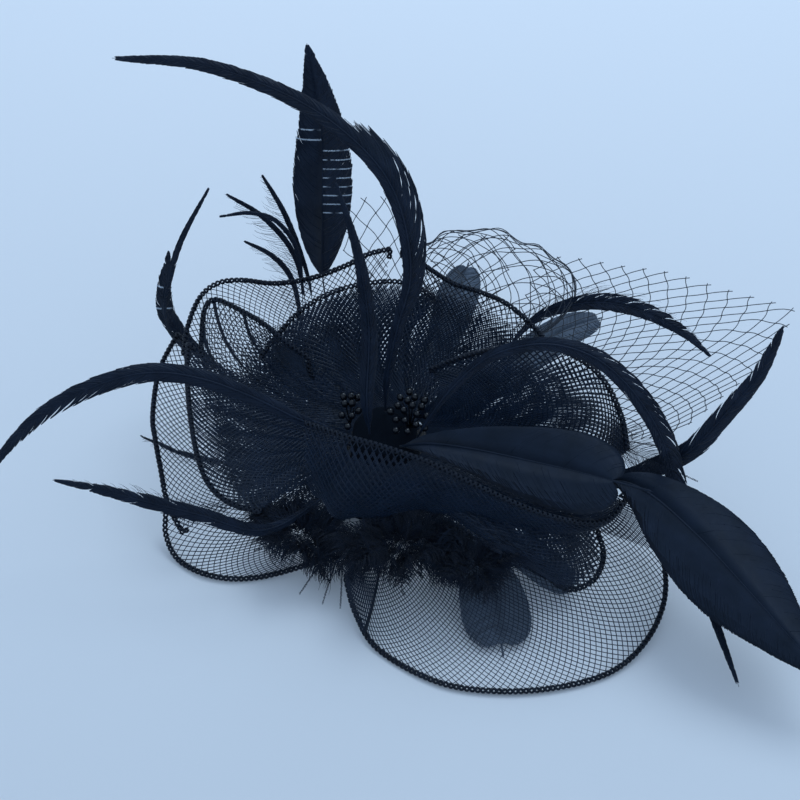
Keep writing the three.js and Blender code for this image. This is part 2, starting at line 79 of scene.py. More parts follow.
class Builder:
    """Gathers closed tubes and other pieces of mesh, and makes one object of them."""

    def __init__(self):
        self.vertices = []
        self.polygons = []
        self.place = []
        self.count = 0

    def add(self, vertices, polygons, place=0.0):
        """`polygons` holds arrays of corner numbers, and `place` is kept for the materials."""
        vertices = np.asarray(vertices, float).reshape(-1, 3)
        self.vertices.append(vertices)
        self.polygons += [np.asarray(p, int) + self.count for p in polygons]
        self.place.append(np.broadcast_to(np.ravel(place), len(vertices)))
        self.count += len(vertices)

    def tubes(self, paths, half_width, half_thick, facing, sides=3, place=0.0, caps=True):
        """Closed tubes along paths (count, steps, 3). Widths may vary by path and step."""
        paths = np.asarray(paths, float)
        count, steps, _ = paths.shape
        tangent = unit(np.gradient(paths, axis=1))
        side = unit(np.cross(np.broadcast_to(facing, paths.shape), tangent))
        normal = np.cross(tangent, side)
        wide = np.broadcast_to(half_width, (count, steps))[..., None]
        thick = np.broadcast_to(half_thick, (count, steps))[..., None]
        rings = []
        for k in range(sides):
            angle = 2 * math.pi * (k + 0.5) / sides
            rings.append(paths + side * wide * math.cos(angle) + normal * thick * math.sin(angle))
        vertices = np.stack(rings, 2)
        index = np.arange(count * steps * sides).reshape(count, steps, sides)
        here, on = index[:, :-1], index[:, 1:]
        walls = np.stack(
            [here, np.roll(here, -1, 2), np.roll(on, -1, 2), on], -1
        ).reshape(-1, 4)
        ends = [index[:, 0, ::-1].reshape(-1, sides), index[:, -1].reshape(-1, sides)]
        place = np.repeat(np.broadcast_to(place, (count, steps))[..., None], sides, 2)
        self.add(vertices, [walls, *ends] if caps else [walls], place)

    def object(self, name, material):
        """One smooth-shaded object in the scene, in metres from the felt's underside."""
        co = (np.vstack(self.vertices) - [0, 0, LIFT]) * MM
        mesh = bpy.data.meshes.new(name)
        mesh.vertices.add(len(co))
        mesh.vertices.foreach_set("co", co.astype(np.float32).ravel())
        loops = np.concatenate([p.ravel() for p in self.polygons])
        totals = np.concatenate([np.full(len(p), p.shape[1]) for p in self.polygons])
        starts = np.concatenate([[0], np.cumsum(totals)[:-1]])
        mesh.loops.add(len(loops))
        mesh.loops.foreach_set("vertex_index", loops.astype(np.int32))
        mesh.polygons.add(len(totals))
        mesh.polygons.foreach_set("loop_start", starts.astype(np.int32))
        mesh.polygons.foreach_set("loop_total", totals.astype(np.int32))
        mesh.polygons.foreach_set("use_smooth", np.full(len(totals), True))
        place = mesh.attributes.new("place", "FLOAT", "POINT")
        place.data.foreach_set("value", np.concatenate(self.place).astype(np.float32))
        mesh.update(calc_edges=True)
        mesh.materials.append(material)
        thing = bpy.data.objects.new(name, mesh)
        bpy.context.scene.collection.objects.link(thing)
        return thing


# ------------------------------ materials


def new_material(name, colour, roughness, **settings):
    """A Principled material, its node tree, and its shader."""
    material = bpy.data.materials.new(name)
    material.use_nodes = True
    shader = material.node_tree.nodes["Principled BSDF"]
    shader.inputs["Base Color"].default_value = (*colour, 1)
    shader.inputs["Roughness"].default_value = roughness
    for key, value in settings.items():
        shader.inputs[key.replace("_", " ")].default_value = value
    return material, material.node_tree, shader


def noise(tree, scale, detail=3.0, roughness=0.5, stretch=None):
    """Noise in object space, `scale` cells a metre."""
    place = tree.nodes.new("ShaderNodeTexCoord")
    texture = tree.nodes.new("ShaderNodeTexNoise")
    texture.inputs["Scale"].default_value = scale
    texture.inputs["Detail"].default_value = detail
    texture.inputs["Roughness"].default_value = roughness
    if stretch is None:
        tree.links.new(place.outputs["Object"], texture.inputs["Vector"])
    else:
        mapping = tree.nodes.new("ShaderNodeMapping")
        mapping.inputs["Scale"].default_value = stretch
        tree.links.new(place.outputs["Object"], mapping.inputs["Vector"])
        tree.links.new(mapping.outputs["Vector"], texture.inputs["Vector"])
    return texture.outputs["Fac"]


def ramp(tree, value, low, high, start=0.3, end=0.7):
    """A colour that goes from low to high as value goes from start to end."""
    node = tree.nodes.new("ShaderNodeValToRGB")
    node.color_ramp.elements[0].position = start
    node.color_ramp.elements[1].position = end
    node.color_ramp.elements[0].color = (*low, 1)
    node.color_ramp.elements[1].color = (*high, 1)
    tree.links.new(value, node.inputs["Fac"])
    return node.outputs["Color"]


def vary_colour(tree, shader, value, low, high, start=0.3, end=0.7):
    tree.links.new(ramp(tree, value, low, high, start, end), shader.inputs["Base Color"])


def vary_roughness(tree, shader, value, low, high):
    node = tree.nodes.new("ShaderNodeMapRange")
    node.inputs["To Min"].default_value = low
    node.inputs["To Max"].default_value = high
    tree.links.new(value, node.inputs["Value"])
    tree.links.new(node.outputs["Result"], shader.inputs["Roughness"])


def add_bump(tree, shader, value, strength, distance):
    node = tree.nodes.new("ShaderNodeBump")
    node.inputs["Strength"].default_value = strength
    node.inputs["Distance"].default_value = distance
    tree.links.new(value, node.inputs["Height"])
    tree.links.new(node.outputs["Normal"], shader.inputs["Normal"])


def crin_material():
    """Shiny nylon thread, a little uneven in colour and gloss. Its black is lifted to blue as painted
    glare.
    """
    settings = {"Specular_IOR_Level": 0.3}
    material, tree, shader = new_material("crin_thread", (0.004, 0.011, 0.026), 0.3, **settings)
    # both ends of the ramp are black lifted to blue: painted glare
    vary_colour(tree, shader, noise(tree, 90), (0.002, 0.008, 0.020), (0.006, 0.015, 0.034))
    vary_roughness(tree, shader, noise(tree, 400), 0.25, 0.45)
    return material


def braid_material():
    """The hem's cord, darker and duller than the net."""
    settings = {"Specular_IOR_Level": 0.25}
    material, tree, shader = new_material("crin_braid", (0.002, 0.006, 0.015), 0.4, **settings)
    vary_colour(tree, shader, noise(tree, 300), (0.001, 0.004, 0.011), (0.003, 0.009, 0.021))
    vary_roughness(tree, shader, noise(tree, 900), 0.3, 0.55)
    return material


def veil_material():
    material, tree, shader = new_material("veil_thread", (0.010, 0.016, 0.026), 0.5)
    vary_colour(tree, shader, noise(tree, 150), (0.006, 0.011, 0.020), (0.016, 0.024, 0.038))
    return material


PALE_BAR = (0.45, 0.52, 0.6)


def feather_material(name, dark, light, roughness, ladders=()):
    """Black barbs, unevenly dyed, their black lifted to blue in both colours as painted glare.
    `ladders` are rows of pale bars across a vane: where they start and end in the mesh's `place`,
    their spacing and a bar's width."""
    settings = {"Sheen_Weight": 0.04, "Sheen_Roughness": 0.4, "Specular_IOR_Level": 0.2}
    material, tree, shader = new_material(name, dark, roughness, **settings)
    dye_and_glare = ramp(tree, noise(tree, 120, 4), dark, light)
    if ladders:
        mix = tree.nodes.new("ShaderNodeMix")
        mix.data_type = "RGBA"
        tree.links.new(bar_mask(tree, ladders), mix.inputs["Factor"])
        tree.links.new(dye_and_glare, mix.inputs["A"])
        mix.inputs["B"].default_value = (*PALE_BAR, 1)
        dye_and_glare = mix.outputs["Result"]
    tree.links.new(dye_and_glare, shader.inputs["Base Color"])
    vary_roughness(tree, shader, noise(tree, 500), roughness - 0.1, roughness + 0.12)
    return material


def math_node(tree, operation, first, second=0.0):
    """A Math node over two values, each a number or another node's output."""
    node = tree.nodes.new("ShaderNodeMath")
    node.operation = operation
    for socket, value in zip(node.inputs, (first, second)):
        if isinstance(value, float):
            socket.default_value = value
        else:
            tree.links.new(value, socket)
    return node.outputs[0]


def bar_mask(tree, ladders):
    """One on the bars and nought between them, with gaps where the barbs have parted."""
    place = tree.nodes.new("ShaderNodeAttribute")
    place.attribute_name = "place"
    place = place.outputs["Fac"]
    mask = 0.0
    for low, high, spacing, width in ladders:
        steps = math_node(tree, "DIVIDE", math_node(tree, "SUBTRACT", place, low), spacing)
        bars = math_node(tree, "LESS_THAN", math_node(tree, "FRACT", steps), width / spacing)
        for operation, end in (("GREATER_THAN", low), ("LESS_THAN", high)):
            bars = math_node(tree, "MULTIPLY", bars, math_node(tree, operation, place, end))
        mask = math_node(tree, "MAXIMUM", mask, bars)
    parted = ramp(tree, noise(tree, 260, 2), (0, 0, 0), (1, 1, 1), 0.36, 0.5)
    return math_node(tree, "MULTIPLY", mask, parted)


def bead_material():
    settings = {"Specular_IOR_Level": 0.4}
    material, tree, shader = new_material("bead_gloss", (0.002, 0.003, 0.005), 0.14, **settings)
    vary_colour(tree, shader, noise(tree, 700), (0.001, 0.002, 0.004), (0.003, 0.005, 0.009))
    vary_roughness(tree, shader, noise(tree, 1500), 0.1, 0.22)
    return material


def felt_material():
    settings = {"Specular_IOR_Level": 0.1}
    # black felt, made darker still: painted shade for the flower's hollow middle, where the core
    # shows
    material, tree, shader = new_material("felt", (0.002, 0.004, 0.007), 0.95, **settings)
    fibres = noise(tree, 2500, 6, 0.7)
    vary_colour(tree, shader, fibres, (0.001, 0.003, 0.006), (0.003, 0.006, 0.012))
    add_bump(tree, shader, fibres, 0.6, 0.0004)
    return material


def buckram_material():
    """Stiffened cloth, with its plain weave in colour and relief."""
    material, tree, shader = new_material("buckram", (0.02, 0.02, 0.022), 0.8)
    place = tree.nodes.new("ShaderNodeTexCoord")
    weaves = []
    for direction in ("X", "Y"):
        wave = tree.nodes.new("ShaderNodeTexWave")
        wave.bands_direction = direction
        wave.inputs["Scale"].default_value = 320
        wave.inputs["Distortion"].default_value = 1.0
        tree.links.new(place.outputs["Object"], wave.inputs["Vector"])
        weaves.append(wave.outputs["Fac"])
    weave = tree.nodes.new("ShaderNodeMath")
    weave.operation = "MULTIPLY"
    tree.links.new(weaves[0], weave.inputs[0])
    tree.links.new(weaves[1], weave.inputs[1])
    vary_colour(tree, shader, weave.outputs[0], (0.008, 0.008, 0.009), (0.035, 0.035, 0.04), 0.1, 0.6)
    add_bump(tree, shader, weave.outputs[0], 0.5, 0.0003)
    return material


def metal_material(name, colour, roughness, stretch):
    """Plated steel whose grain is `stretch` times finer along each axis."""
    material, tree, shader = new_material(name, colour, roughness, Metallic=1.0)
    grain = noise(tree, 900, 3, 0.6, stretch)
    darker = tuple(0.75 * c for c in colour)
    vary_colour(tree, shader, grain, darker, colour)
    vary_roughness(tree, shader, grain, roughness - 0.08, roughness + 0.12)
    return material


CRIN = crin_material()
BRAID = braid_material()
VEIL = veil_material()
# the black, goose and barred feathers' colours are black lifted to blue: painted glare over uneven
# dyeing
FEATHER = feather_material("feather_black", (0.003, 0.009, 0.022), (0.009, 0.018, 0.038), 0.5)
GOOSE = feather_material("feather_goose", (0.002, 0.008, 0.019), (0.006, 0.014, 0.031), 0.55)
TALL_BARRED = feather_material(
    "feather_tall_barred", (0.003, 0.009, 0.022), (0.009, 0.018, 0.038), 0.5,
    ladders=[(0.298, 0.38, 0.0115, 0.0015), (0.892, 0.912, 0.0125, 0.0018)],
)
LEFT_BARRED = feather_material(
    "feather_left_barred", (0.003, 0.009, 0.022), (0.009, 0.018, 0.038), 0.5,
    ladders=[(0.39, 0.45, 0.04, 0.003), (0.89, 0.95, 0.04, 0.003)],
)
ROUND = feather_material("feather_round", (0.062, 0.082, 0.112), (0.088, 0.113, 0.150), 0.6)
DOWN = feather_material("down_black", (0.001, 0.005, 0.014), (0.005, 0.012, 0.027), 0.7)
BEAD = bead_material()
FELT = felt_material()
BUCKRAM = buckram_material()
SHEET_STEEL = metal_material("plated_sheet", (0.62, 0.62, 0.63), 0.3, (1, 12, 12))
WIRE_STEEL = metal_material("plated_wire", (0.75, 0.75, 0.76), 0.22, (3, 3, 3))


# ------------------------------ crin petals

PITCH = 2.0  # between the threads of the crin
THREAD = 0.19  # half the thickness of a thread
INNER_THREAD = 0.235  # and where crin is folded double
BRAID_TWIST = 4.0  # length of a cord's turn round the braid
BRAID_STEPS = 8  # steps in a turn
BRAID_REACH = 0.78  # from the braid's middle to a cord's
BRAID_CORD = 0.48  # half the thickness of a cord
CRIN_STEP = 3.0  # between the bends of a crin thread
FOLD_LIFT = 1.4  # from a petal's surface to the crin folded back on it
FOLD_START = 0.3  # how far out, as a share of the depth, a fold starts
LAYER_GAP = 2.2  # between two layers of crin
CREASE = 0.8  # half the thickness of a crease
GRID_OUT = 48  # points on a sheet from its root to its hem
GRID_ACROSS = 240  # and from side to side


def root_arc(start, end, height):
    """Where a sheet is sewn to the core, between two angles in degrees."""
    angles = np.radians(np.linspace(start, end, 5))
    x, y = ROOT_RADIUS * np.cos(angles), ROOT_RADIUS * np.sin(angles)
    return np.stack([x, y, np.full(5, height)], -1)


class Sheet:
    """A surface through root, belly and hem, with pleats that fade out towards the hem."""

    def __init__(self, curves, pleats, height, phase=0.0, lift=0.0):
        root, belly, hem = [Spline(c) for c in curves]
        u = np.linspace(0, 1, GRID_OUT)[:, None, None]
        v = np.linspace(0, 1, GRID_ACROSS)
        place = root.at(v) * (1 - u) * (1 - 2 * u)
        place = place + belly.at(v) * 4 * u * (1 - u)
        place = place + hem.at(v) * u * (2 * u - 1)
        normal = self.normals(place)
        u = u[..., 0]
        fade = np.sin(math.pi * u**0.8) * (1 - 0.4 * u)
        wander = 0.9 * np.sin(2 * math.pi * v * 1.7 + phase) + 0.5 * np.sin(5.1 * u + phase)
        wave = np.sin(2 * math.pi * pleats * v + phase + wander)
        push = height * fade * wave + lift * np.sin(math.pi * u)
        self.place = place + normal * push[..., None]
        self.normal = self.normals(self.place)
        self.hem_length = hem.length
        middle = self.place[:, GRID_ACROSS // 2]
        self.depth = np.linalg.norm(np.diff(middle, axis=0), axis=1).sum()

    @staticmethod
    def normals(place):
        return unit(np.cross(np.gradient(place, axis=0), np.gradient(place, axis=1)))

    def at(self, u, v, lift=0.0):
        """Points and normals of the surface at u out from the root and v across."""
        x = np.clip(u, 0, 1) * (GRID_OUT - 1)
        y = np.clip(v, 0, 1) * (GRID_ACROSS - 1)
        i = np.minimum(x.astype(int), GRID_OUT - 2)
        j = np.minimum(y.astype(int), GRID_ACROSS - 2)
        a, b = (x - i)[..., None], (y - j)[..., None]
        found = []
        for grid in (self.place, self.normal):
            near = grid[i, j] * (1 - a) + grid[i + 1, j] * a
            far = grid[i, j + 1] * (1 - a) + grid[i + 1, j + 1] * a
            found.append(near * (1 - b) + far * b)
        return found[0] + found[1] * lift, found[1]


def weave(builder, sheet, pitch, thread, step, inner=0.01, reach=1.0, across=(0, 1), wobble=0.12,
          wave=0.0, lift=0.0, sides=4):
    """Two sets of slanting threads over the sheet, from near the root out to `reach`."""
    width, depth = sheet.hem_length, sheet.depth
    spacing = pitch * math.sqrt(2)
    left, right = across[0] * width, across[1] * width
    first = spacing * math.floor((left - depth) / spacing)
    for slant in (-1, 1):
        groups = {}
        for start in np.arange(first, right + depth, spacing):
            low = max(inner * depth, (left - start if slant > 0 else start - right))
            high = min(reach * depth, (right - start if slant > 0 else start - left))
            if high - low < 0.7 * pitch:
                continue
            count = max(2, int((high - low) * math.sqrt(2) / step) + 1)
            count = min(count, 8) if count < 12 else 4 * (count // 4)
            groups.setdefault(count, []).append((start, low, high))
        for count, lines in groups.items():
            start, low, high = [np.array(c)[:, None] for c in zip(*lines)]
            y = low + (high - low) * np.linspace(0, 1, count)
            x = start + slant * y
            sway = np.sin(0.23 * y + 0.05 * start) + np.sin(0.11 * x + slant)
            ripple = wave * pitch * np.sin(2 * math.pi * y / spacing)
            x = x + wobble * pitch * sway + ripple
            place, normal = sheet.at(y / depth, x / width, lift + 0.6 * slant * thread)
            builder.tubes(place, thread, thread, normal, sides, caps=False)


def braid(builder, line, normal):
    """The plaited braid on a hem: cords wound round it both ways, with light between them."""
    length = np.linalg.norm(np.diff(line, axis=0), axis=1).sum()
    source = np.linspace(0, 1, len(line))
    share = np.linspace(0, 1, max(16, int(BRAID_STEPS * length / BRAID_TWIST)))

    def along(values):
        return np.stack([np.interp(share, source, values[:, k]) for k in range(3)], -1)

    middle = along(line)
    out = unit(along(normal))
    across = unit(np.cross(unit(np.gradient(middle, axis=0)), out))
    cords = []
    for way in (-1, 1):
        for start in (0.0, math.pi):
            turn = (way * 2 * math.pi * share * length / BRAID_TWIST + start)[:, None]
            cords.append(middle + BRAID_REACH * (np.cos(turn) * across + 0.8 * np.sin(turn) * out))
    builder.tubes(cords, BRAID_CORD, BRAID_CORD, np.array([0.31, 0.52, 0.8]), 4)


def outline(sheet, turn_in):
    """The petal's hem, turned in a little way down each side, and the way out of its surface."""
    corner, steps = 20, 200
    down = np.linspace(1 - turn_in, 1, corner)
    u = np.concatenate([down, np.ones(steps), down[::-1]])
    v = np.concatenate([np.zeros(corner), np.linspace(0, 1, steps), np.ones(corner)])
    line, normal = sheet.at(u, v)
    gaps = np.linalg.norm(np.diff(line, axis=0), axis=1)
    along = np.concatenate([[0], np.cumsum(gaps)])
    even = np.linspace(0, along[-1], 500)
    line = np.stack([np.interp(even, along, line[:, k]) for k in range(3)], -1)
    normal = np.stack([np.interp(even, along, normal[:, k]) for k in range(3)], -1)
    return line, normal


# For each petal: the curves its surface passes through, its pleats and their height, and how far
# out each layer of crin reaches, the braided one first. `creases` and `folds` lie across the petal,
# as shares of its width, and `turn_in` is how far down its sides the hem goes.
PETALS = {
    "petal_front_right": dict(
        root=root_arc(-105, -10, 20),
        belly=[
            (-10, -40, 17), (8, -56, 17), (32, -60, 17), (55, -48, 17), (64, -30, 17), (60, -14, 18),
        ],
        hem=[
            (-15, -54, 12), (-11, -66, 5), (-2, -80, 1.5), (20, -94, 1.5), (43, -98, 1.5),
            (66, -96, 1.5), (86, -89, 1.5), (100, -76, 3), (108, -60, 6), (109, -44, 10),
            (105, -30, 15), (96, -20, 20),
        ],
        pleats=5, height=0.8, layers=(1,), folds=(0.11, 0.87),
    ),
    "petal_front_left": dict(
        root=root_arc(-168, -118, 20),
        belly=[(-50, -12, 12), (-46, -24, 11), (-38, -30, 11), (-26, -32, 12), (-17, -30, 14)],
        hem=[
            (-88, -20, 12), (-88, -28, 5), (-83, -37, 1.5), (-73, -44, 1.5), (-61, -47, 1.5),
            (-48, -46, 1.5), (-33, -43, 4), (-21, -42, 10),
        ],
        pleats=3, height=0.8, layers=(1, 0.5),
    ),
    "petal_left_outer": dict(
        root=root_arc(140, 192, 22.5),
        belly=[(-52, 32, 22), (-58, 16, 20), (-58, 2, 18), (-56, -8, 17), (-50, -16, 16)],
        hem=[
            (-87, 47, 44), (-93, 30, 40), (-94, 10, 35), (-92, -1, 32), (-89, -13, 27),
            (-86, -24, 20), (-80, -33, 13),
        ],
        pleats=3, height=1.0, layers=(1, 0.6, 0.5),
    ),
    "petal_left_inner": dict(
        root=root_arc(150, 212, 28),
        belly=[(-44, 14, 36), (-46, 4, 34), (-44, -8, 32), (-40, -18, 30), (-34, -23, 30)],
        hem=[
            (-79, 27, 58), (-78, 12, 56), (-75, -8, 52), (-71, -24, 46), (-66, -33, 41),
            (-58, -38, 37), (-48, -40, 35),
        ],
        pleats=4, height=1.2, layers=(1, 0.98, 0.92, 0.85), thread=INNER_THREAD,
    ),
    "petal_back_left": dict(
        root=root_arc(157, 93, 26),
        belly=[(-46, 24, 32), (-45, 36, 34), (-35, 44, 36), (-20, 46, 36), (-2, 46, 36)],
        hem=[
            (-82, 30, 50), (-81, 41, 54), (-77, 54, 58), (-70, 61, 60), (-60, 63, 60),
            (-46, 61, 60), (-31, 62, 62), (-17, 65, 66), (-7, 68, 70), (2, 69, 72),
        ],
        pleats=6, height=1.4, layers=(1, 0.7, 0.66, 0.6),
    ),
    "petal_upper_left": dict(
        root=root_arc(156, 104, 33),
        belly=[(-59, 12, 42), (-55, 19, 44), (-47, 23, 46), (-36, 21, 47), (-25, 17, 45)],
        hem=[
            (-75, 34, 52), (-74, 46, 59), (-70, 49, 62), (-62, 44, 63), (-49, 34, 63),
            (-39, 25, 61), (-30, 20, 57),
        ],
        pleats=5, height=1.2, layers=(1, 0.62, 0.55, 0.5), creases=(0.1, 0.28, 0.5, 0.74),
        turn_in=0.35,
    ),
    "petal_back_inner": dict(
        root=root_arc(138, 46, 33),
        belly=[(-34, 17, 46), (-23, 28, 46), (-8, 33, 48), (8, 33, 48)],
        hem=[
            (-50, 24, 54), (-42, 35, 58), (-33, 44, 62), (-20, 50, 66), (-4, 53, 68),
            (10, 52, 68), (21, 46, 65),
        ],
        pleats=5, height=1.6, layers=(1, 0.98, 0.97, 0.95, 0.9, 0.85), thread=INNER_THREAD,
    ),
    "petal_back_right": dict(
        root=root_arc(87, 50, 26),
        belly=[(6, 44, 40), (18, 42, 40), (30, 36, 38), (40, 28, 36)],
        hem=[
            (7, 68, 73), (14, 61, 72), (20, 57, 70), (28, 52, 68), (39, 49, 66), (49, 47, 62),
            (57, 42, 58), (64, 36, 54),
        ],
        pleats=5, height=1.6, layers=(1, 0.9, 0.85, 0.8), thread=INNER_THREAD,
    ),
    "petal_right": dict(
        root=root_arc(50, -24, 33),
        belly=[(21, 8, 48), (34, 2, 50), (52, -5, 51), (66, -12, 48), (72, -22, 42)],
        hem=[
            (18, 9, 62), (30, 6, 72), (45, 3, 80), (61, 2, 82), (75, 0, 76), (84, -6, 70),
            (90, -15, 61), (92, -24, 54),
        ],
        pleats=4, height=1.2, layers=(1, 0.97, 0.93, 0.9), thread=INNER_THREAD,
    ),
    "petal_front_roll": dict(
        root=root_arc(-142, -30, 33),
        belly=[
            (-27, -28, 30), (-16, -37, 27), (4, -36, 29), (24, -36, 30), (44, -40, 30),
            (62, -42, 30), (74, -34, 33),
        ],
        hem=[
            (-30, -17, 60), (-16, -25, 62), (0, -31, 62), (17, -37, 60), (35, -45, 56),
            (54, -51, 50), (71, -52, 44), (84, -48, 40), (92, -38, 41),
        ],
        pleats=6, height=1.0, layers=(1, 0.97, 0.93, 0.9), thread=INNER_THREAD, turn_in=0.0,
    ),
    "petal_low_loop": dict(
        root=root_arc(-62, -34, 26.5),
        belly=[(34, -46, 26), (46, -44, 26), (54, -36, 25)],
        hem=[
            (60, -54, 22), (64, -60, 18), (71, -62, 15), (80, -58, 16), (84, -50, 20), (82, -40, 25),
        ],
        pleats=3, height=1.0, layers=(1, 0.97, 0.94, 0.9, 0.84), thread=INNER_THREAD,
    ),
}


def crease(builder, sheet, v, low):
    """The dark edge of a fold, seen end on, from `low` out to the hem. It thins towards the root."""
    share = np.linspace(low, 1, 24)
    line, normal = sheet.at(share, np.full(24, v), 0.5)
    radius = CREASE * np.sin(0.5 * math.pi * np.clip((share - low) / (1 - low), 0.15, 1))
    builder.tubes(line[None], radius[None], 0.7 * radius[None], normal[None], 5)


def let_light_through(net):
    """Open net hardly shades what is behind it."""
    net.visible_shadow = False
    net.visible_diffuse = False


def make_petal(name, root, belly, hem, pleats, height, layers, thread=THREAD, creases=(),
               folds=None, turn_in=0.04):
    """A net of one or more layers of crin, and the braid on its hem."""
    mesh, edge = Builder(), Builder()
    for layer, reach in enumerate(layers):
        phase = 1.3 * layer + 0.37 * len(name)
        sheet = Sheet((root, belly, hem), pleats + layer, height, phase, LAYER_GAP * layer)
        weave(mesh, sheet, PITCH, thread, CRIN_STEP, reach=reach)
        if layer == 0:
            braid(edge, *outline(sheet, turn_in))
            for v in creases:
                crease(edge, sheet, v, 0.35)
            if folds is not None:
                near, far = folds
                for across in ((0, near), (far, 1)):
                    weave(mesh, sheet, PITCH, thread, CRIN_STEP, FOLD_START, across=across,
                          lift=FOLD_LIFT)
                crease(edge, sheet, near, 0.45)
    petal = mesh.object(name + "_net", CRIN)
    hem_braid = edge.object(name + "_braid", BRAID)
    let_light_through(petal)
    for piece in (petal, hem_braid):
        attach(piece, "headpiece")
    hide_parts(name)


# ------------------------------ veil

VEIL_PITCH = 6.8  # between the threads of the veiling
VEIL_THREAD = 0.19  # half the thickness of a thread
VEIL_KNOT = 0.45  # from a knot's middle to its corners
VEIL_STEP = 1.6  # between the bends of a thread
VEIL_START = 0.1  # how far out, as a share of the depth, the net starts

VEILS = {
    "veil_right": dict(
        root=root_arc(36, 2, 23.5),
        belly=[(46, 44, 34), (58, 40, 34), (70, 34, 34), (78, 24, 32), (80, 12, 29), (76, 2, 26)],
        hem=[
            (64, 76, 62), (82, 79, 58), (100, 79, 54), (122, 79, 50), (143, 74, 46),
            (163, 70, 42), (175, 67, 40), (170, 56, 38), (157, 39, 34), (138, 23, 30),
            (124, 11, 28), (112, 4, 28),
        ],
        pleats=4, height=2.0,
    ),
    "veil_back": dict(
        root=root_arc(104, 62, 22.5),
        belly=[(-13, 68, 32), (0, 70, 34), (14, 68, 34), (28, 62, 36), (40, 56, 36)],
        hem=[
            (-22, 112, 56), (-14, 116, 60), (0, 112, 64), (10, 98, 62), (18, 88, 60),
            (30, 85, 66), (44, 85, 66), (56, 82, 68),
        ],
        pleats=5, height=3.5, puff=True,
    ),
}


def knots(builder, sheet):
    """A small knot where two threads of the net cross, open where it sits on them."""
    width, depth = sheet.hem_length, sheet.depth
    spacing = VEIL_PITCH * math.sqrt(2)
    first = spacing * math.floor(-depth / spacing)
    rows = np.arange(VEIL_START * depth, depth, spacing / 2)
    rows = np.round(rows / (spacing / 2)) * spacing / 2
    columns = np.arange(first, width + depth, spacing / 2)
    y, x = [grid.ravel() for grid in np.meshgrid(rows, columns, indexing="ij")]
    crossing = np.round((x - first - y) / spacing * 2) % 2 == 0
    inside = crossing & (x > 0) & (x < width)
    place, _ = sheet.at(y[inside] / depth, x[inside] / width)
    corners = VEIL_KNOT * np.array(
        [(1, 0, 0), (0, 1, 0), (0, 0, 1), (-1, 0, 0), (0, -1, 0), (0, 0, -1)]
    )
    sides = np.array(
        [(0, 1, 2), (1, 3, 2), (3, 4, 2), (4, 0, 2), (1, 0, 5), (3, 1, 5), (4, 3, 5)]
    )
    points = place[:, None] + corners
    faces = np.arange(len(place))[:, None, None] * 6 + sides
    builder.add(points, [faces.reshape(-1, 3)])


# Root, belly and hem of the curl of net that stands behind the flower.
PUFF = (
    [(10, 34, 40), (20, 36, 40), (30, 34, 38), (38, 30, 36)],
    [(16, 86, 60), (28, 84, 68), (42, 80, 73), (57, 70, 74), (71, 61, 71), (77, 49, 62),
     (66, 42, 52)],
    [(22, 70, 36), (32, 70, 38), (44, 66, 40), (56, 58, 42), (62, 50, 42), (60, 44, 42),
     (56, 40, 42)],
)


def make_veil(name, root, belly, hem, pleats, height, puff=False):
    """A piece of netting, with a second curled sheet of it where it has a puff."""
    mesh = Builder()
    sheet = Sheet((root, belly, hem), pleats, height, 0.8)
    shape = dict(wobble=0, wave=0.055, sides=5)
    weave(mesh, sheet, VEIL_PITCH, VEIL_THREAD, VEIL_STEP, VEIL_START, **shape)
    knots(mesh, sheet)
    size = (sheet.hem_length * MM, sheet.depth * MM)
    if puff:
        curl = Sheet(PUFF, 5, 1.5, 0.3)
        weave(mesh, curl, VEIL_PITCH, VEIL_THREAD, VEIL_STEP, VEIL_START, **shape)
        knots(mesh, curl)
        size = (size[0] + curl.hem_length * MM, max(size[1], curl.depth * MM))
    veil = mesh.object(name + "_net", VEIL)
    let_light_through(veil)
    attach(veil, "headpiece")
    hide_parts(name)


# ------------------------------ feathers

TO_FRONT = (0, -0.73, 0.68)
UP = (0, 0, 1)


class Blade:
    """A feather's middle line with its side and face directions."""

    def __init__(self, path, face):
        self.line = Spline(path)
        self.length = self.line.length
        self.share = np.linspace(0, 1, 240)
        self.place = self.line.at(self.share)
        tangent = unit(np.gradient(self.place, axis=0))
        self.side = unit(np.cross(face, tangent))
        self.normal = np.cross(tangent, self.side)

    def at(self, share, across=0.0, out=0.0):
        share = np.clip(share, 0, 1)
        found = []
        for values in (self.place, self.side, self.normal):
            columns = [np.interp(share, self.share, values[:, k]) for k in range(3)]
            found.append(np.stack(columns, -1))
        place, side, normal = found
        across = np.asarray(across)[..., None]
        out = np.asarray(out)[..., None]
        return place + side * across + normal * out, normal


def half_width(share, half, bare, widest, fullness):
    power = math.log(0.5) / math.log(widest)
    s = np.clip((share - bare) / (1 - bare), 0, 1)
    return half * np.maximum(np.sin(math.pi * s**power), 0) ** fullness


def clumps(where, low, high, least=0.1):
    """Places along a quill gathered into clumps: each place's distance behind its clump's middle."""
    edges = [0.0]
    while edges[-1] < where[-1]:
        edges.append(edges[-1] + RNG.uniform(low, high))
    edges = np.array(edges)
    index = np.clip(np.searchsorted(edges, where, "right") - 1, 0, len(edges) - 2)
    middle = 0.5 * (edges[index] + edges[index + 1])
    pull = RNG.uniform(least, 1.0, len(edges))[index]
    return (middle - where) * pull


